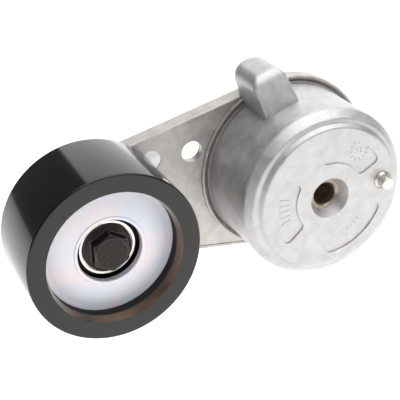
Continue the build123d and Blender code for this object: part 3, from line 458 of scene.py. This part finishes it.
coil = addNode(tree, "GeometryNodeSetPosition", inputs={
    "Geometry": path.outputs["Curve"], "Position": coilPoint.outputs["Vector"]})
wireSection = addNode(tree, "GeometryNodeCurvePrimitiveCircle", inputs={"Resolution": size["Wire Sides"]})
tree.links.new(calculate(tree, "DIVIDE", size["Wire"], 2.0), wireSection.inputs["Radius"])
wire = addNode(tree, "GeometryNodeCurveToMesh", inputs={
    "Curve": coil.outputs["Geometry"], "Profile Curve": wireSection.outputs["Curve"], "Fill Caps": True})
solid = addNode(tree, "GeometryNodeRealizeInstances", inputs={"Geometry": wire.outputs["Mesh"]})
coated = addNode(tree, "GeometryNodeSetMaterial", inputs={
    "Geometry": solid.outputs["Geometry"], "Material": springSteel})
springCoil = buildShape(tree, springSizes, coated.outputs["Geometry"])
smooth(springCoil, springSharpAngle)
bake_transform(springCoil)   # the placement goes into the mesh; the coil stays as built, on no body
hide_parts("torsion_spring")


def raisedMarks(name, sizes, finish, body):   # small bars along an arc, sunk into their surface
    tree, size = startShape(name, sizes)
    row = addNode(tree, "GeometryNodeMeshLine", inputs={"Count": size["Count"]}).outputs["Mesh"]
    index = addNode(tree, "GeometryNodeInputIndex").outputs["Index"]
    gaps = calculate(tree, "MAXIMUM", calculate(tree, "SUBTRACT", size["Count"], 1.0), 1.0)
    share = calculate(tree, "DIVIDE", index, gaps)
    whole = calculate(tree, "SUBTRACT", size["Last Angle"], size["First Angle"])
    sweep = calculate(tree, "MULTIPLY", share, whole)
    angle = calculate(tree, "RADIANS", calculate(tree, "ADD", sweep, size["First Angle"]))
    across, upwards = onCircle(tree, size["Radius"], angle)
    middle = calculate(tree, "ADD", size["Surface"], calculate(tree, "DIVIDE", size["Sunk"], 2.0))
    markPoint = addNode(tree, "ShaderNodeCombineXYZ", inputs={
        "X": calculate(tree, "ADD", size["Centre X"], across),
        "Y": calculate(tree, "SUBTRACT", middle, calculate(tree, "DIVIDE", size["Height"], 2.0)),
        "Z": calculate(tree, "ADD", size["Centre Z"], upwards)})
    points = addNode(tree, "GeometryNodeSetPosition", inputs={
        "Geometry": row, "Position": markPoint.outputs["Vector"]})
    thick = calculate(tree, "ADD", size["Height"], size["Sunk"])
    barSize = addNode(tree, "ShaderNodeCombineXYZ", inputs={
        "X": size["Length"], "Y": thick, "Z": size["Breadth"]})
    bar = addNode(tree, "GeometryNodeMeshCube", inputs={"Size": barSize.outputs["Vector"]})
    spin = addNode(tree, "ShaderNodeCombineXYZ", inputs={"Y": calculate(tree, "MULTIPLY", angle, -1.0)})
    bars = addNode(tree, "GeometryNodeInstanceOnPoints", inputs={
        "Points": points.outputs["Geometry"], "Instance": bar.outputs["Mesh"],
        "Rotation": spin.outputs["Vector"]})
    solid = addNode(tree, "GeometryNodeRealizeInstances", inputs={"Geometry": bars.outputs["Instances"]})
    coated = addNode(tree, "GeometryNodeSetMaterial", inputs={
        "Geometry": solid.outputs["Geometry"], "Material": finish})
    marks = buildShape(tree, sizes, coated.outputs["Geometry"])
    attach(marks, body)


print("marks")
markSets = {   # plain cast marks: no lettering
    "padDial": {
        "Centre X": 15.5, "Centre Z": 19.0, "Radius": 4.3, "First Angle": 0.0, "Last Angle": 330.0,
        "Count": 12, "Length": 1.4, "Breadth": 0.45, "Surface": 0.6, "Height": 0.2, "Sunk": 0.06},
    "padDialHub": {
        "Centre X": 15.5, "Centre Z": 19.0, "Radius": 1.1, "First Angle": 45.0, "Last Angle": 315.0,
        "Count": 4, "Length": 0.6, "Breadth": 0.6, "Surface": 0.6, "Height": 0.2, "Sunk": 0.06},
    "rimTicks": {
        "Centre X": 0.0, "Centre Z": 0.0, "Radius": 30.6, "First Angle": -97.0, "Last Angle": -40.0,
        "Count": 22, "Length": 1.7, "Breadth": 0.5, "Surface": 0.0, "Height": 0.08, "Sunk": 0.06},
    "padBars": {
        "Centre X": 0.0, "Centre Z": 0.0, "Radius": 22.5, "First Angle": 168.0, "Last Angle": 196.0,
        "Count": 5, "Length": 4.5, "Breadth": 0.7, "Surface": 0.6, "Height": 0.2, "Sunk": 0.06},
    "padPips": {
        "Centre X": 0.0, "Centre Z": 0.0, "Radius": 21.0, "First Angle": 297.0, "Last Angle": 314.0,
        "Count": 4, "Length": 2.2, "Breadth": 0.6, "Surface": 0.6, "Height": 0.2, "Sunk": 0.06},
}
for name, sizes in markSets.items():
    raisedMarks(name, sizes, dieCastCase, "case")

print("studio")
studio = {
    "floorColour": "#F8F8F7", "floorRoughness": 0.9, "floorSize": 8.0,
    "floorDrop": 0.07,   # low enough for the arm to swing all the way down above it
    "floorGlow": 0.78,   # the paper is lit from below
    "skyColour": "#FFFFFF", "seenSky": 1.0, "dimSky": 0.16,
    "overhead": {"place": (0.2, -0.1, 0.95), "size": 1.3, "power": 13.0},
    "rightWall": {"place": (0.52, 0.95, 0.39), "size": 1.2, "power": 6.2},
    "front": {"place": (0.3, -1.1, 0.5), "size": 0.9, "power": 0.9},
    "aim": (-0.03, 0.02, 0.0),
}
floorMesh = bpy.data.meshes.new("studioFloor")
half = studio["floorSize"] / 2
floorZ = cadBox[0][2] - studio["floorDrop"]
floorCorners = [(half * x, half * y, floorZ) for x, y in ((-1, -1), (1, -1), (1, 1), (-1, 1))]
floorMesh.from_pydata(floorCorners, [], [(0, 1, 2, 3)])
floor = bpy.data.objects.new("studioFloor", floorMesh)
bpy.context.scene.collection.objects.link(floor)
floorPaint, tree, shader, place = startMaterial("matteWhitePaper")
shader.inputs["Base Color"].default_value = linear(studio["floorColour"])
shader.inputs["Roughness"].default_value = studio["floorRoughness"]
shader.inputs["Emission Color"].default_value = linear(studio["floorColour"])
shader.inputs["Emission Strength"].default_value = studio["floorGlow"]
floorMesh.materials.append(floorPaint)

for name in ("overhead", "rightWall", "front"):
    look = studio[name]
    lamp = bpy.data.lights.new(name, "AREA")
    lamp.shape = "SQUARE"
    lamp.size = look["size"]
    lamp.energy = look["power"]
    lampObject = bpy.data.objects.new(name, lamp)
    lampObject.location = look["place"]
    lampObject.rotation_mode = "QUATERNION"
    towards = Vector(studio["aim"]) - Vector(look["place"])
    lampObject.rotation_quaternion = towards.to_track_quat("-Z", "Y")
    bpy.context.scene.collection.objects.link(lampObject)

world = bpy.data.worlds.new("softSky")
world.use_nodes = True
bpy.context.scene.world = world
sky = world.node_tree
sky.nodes.clear()
seen = addNode(sky, "ShaderNodeLightPath").outputs["Is Camera Ray"]   # the backdrop itself stays white
skyColour = linear(studio["skyColour"])
dim = addNode(sky, "ShaderNodeBackground", inputs={"Color": skyColour, "Strength": studio["dimSky"]})
white = addNode(sky, "ShaderNodeBackground", inputs={"Color": skyColour, "Strength": studio["seenSky"]})
both = addNode(sky, "ShaderNodeMixShader", inputs={
    0: seen, 1: dim.outputs["Background"], 2: white.outputs["Background"]})
addNode(sky, "ShaderNodeOutputWorld", inputs={"Surface": both.outputs["Shader"]})

print("camera")
view = {
    "place": (-0.21343, -0.36410, 0.23296), "along": (0.33734, 0.80996, -0.47976),
    "upward": (0.25794, 0.41060, 0.87457), "lens": 98.08, "sensor": 36.0, "near": 0.01, "far": 50.0,
}
lens = bpy.data.cameras.new("productCamera")
lens.lens = view["lens"]
lens.sensor_width = view["sensor"]
lens.clip_start = view["near"]
lens.clip_end = view["far"]
camera = bpy.data.objects.new("productCamera", lens)
lookAlong = Vector(view["along"]).normalized()
rightward = lookAlong.cross(Vector(view["upward"])).normalized()
upward = rightward.cross(lookAlong)
turn = Matrix((rightward, upward, -lookAlong)).transposed().to_4x4()
camera.matrix_world = Matrix.Translation(Vector(view["place"])) @ turn
bpy.context.scene.collection.objects.link(camera)
bpy.context.scene.camera = camera
bpy.context.scene.view_settings.view_transform = "Standard"
